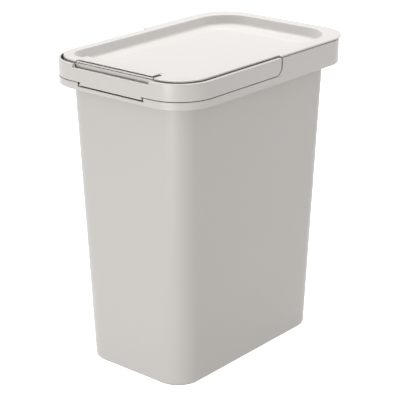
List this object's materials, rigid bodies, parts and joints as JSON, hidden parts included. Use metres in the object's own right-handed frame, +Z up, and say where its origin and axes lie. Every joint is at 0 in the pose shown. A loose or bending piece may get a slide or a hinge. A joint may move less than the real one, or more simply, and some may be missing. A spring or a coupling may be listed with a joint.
{
  "type": "recycling bin",
  "caption": "Tapered household recycling bin in pale grey plastic with a wide collar, a fold-down carry handle and a tray-topped lid hinged at the back.",
  "frame": {"origin": "middle of the whole bin's footprint, on the floor that it stands on", "axes": "+Z up; -Y is the front, where the carry handle's grip and the lid's tab are; X runs across the narrow way"},
  "size_m": [0.2346, 0.3507, 0.4159],
  "materials": {
    "bin_plastic": "satin",
    "collar_plastic": "satin",
    "lid_plastic": "satin",
    "pin_steel": "satin"
  },
  "bodies": {
    "bin": {"bin_body": "bin_plastic", "collar": "collar_plastic", "lid_hinge_pin_left": "pin_steel", "lid_hinge_pin_right": "pin_steel"},
    "handle": {"carry_handle": "collar_plastic"},
    "lid": {"lid": "lid_plastic", "lid_tab": "lid_plastic"}
  },
  "joints": [
    {"name": "handle_swing", "type": "hinge", "parent": "bin", "child": "handle", "pos_m": [0, -0.0009, 0.4031], "axis": [-1, 0, 0], "range_deg": [0, 90]},
    {"name": "lid_hinge", "type": "hinge", "parent": "bin", "child": "lid", "pos_m": [0, 0.1728, 0.40845], "axis": [-1, 0, 0], "range_deg": [0, 95]}
  ]
}
